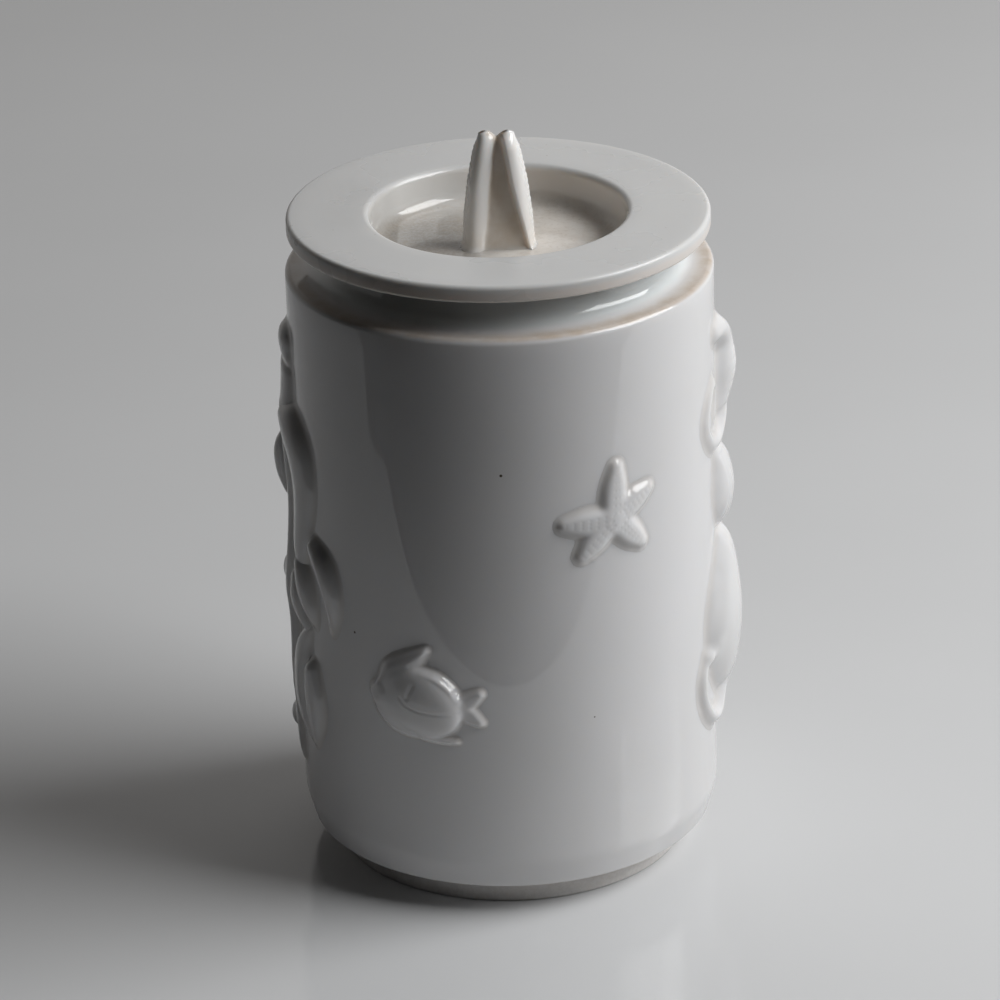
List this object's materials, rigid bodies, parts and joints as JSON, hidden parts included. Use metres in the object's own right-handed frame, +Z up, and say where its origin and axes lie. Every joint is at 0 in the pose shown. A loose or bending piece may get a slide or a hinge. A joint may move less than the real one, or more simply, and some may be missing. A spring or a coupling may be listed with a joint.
{
  "type": "lidded porcelain jar",
  "caption": "Round white porcelain storage jar with sea-creature reliefs and a loose flanged lid whose sunken well holds a fishtail knob.",
  "frame": {"origin": "on the table at the centre of the foot ring", "axes": "+Z up along the jar's axis; the front, with the starfish and the round fish, faces -Y; +X to the right seen from the front"},
  "size_m": [0.1105, 0.1017, 0.1796],
  "materials": {
    "body_glaze": "glossy white glaze, iron-stained on the rim ledge, unglazed foot ring",
    "lid_glaze": "satin to glossy white glaze, faint brown specks in the well",
    "knob_glaze": "glossy warm white glaze",
    "sprig_glaze": "glossy white glaze pooled softly round each relief"
  },
  "bodies": {
    "jar": {"jar_body": "body_glaze", "starfish_front": "sprig_glaze", "fish_front": "sprig_glaze", "seahorse": "sprig_glaze", "cockle_shell": "sprig_glaze", "conch_shell": "sprig_glaze", "seaweed_stem": "sprig_glaze", "seaweed_ribbon": "sprig_glaze", "seaweed_leaf_high": "sprig_glaze", "seaweed_leaf_middle": "sprig_glaze", "seaweed_leaf_low": "sprig_glaze", "seaweed_leaf_inner": "sprig_glaze", "seaweed_pod": "sprig_glaze", "starfish_back": "sprig_glaze", "fish_back": "sprig_glaze"},
    "lid": {"lid_dish": "lid_glaze", "fishtail_knob": "knob_glaze"}
  },
  "joints": [
    {"name": "lid_lift", "type": "slide", "parent": "jar", "child": "lid", "axis": [0, 0, 1], "range_m": [0, 0.06]}
  ]
}
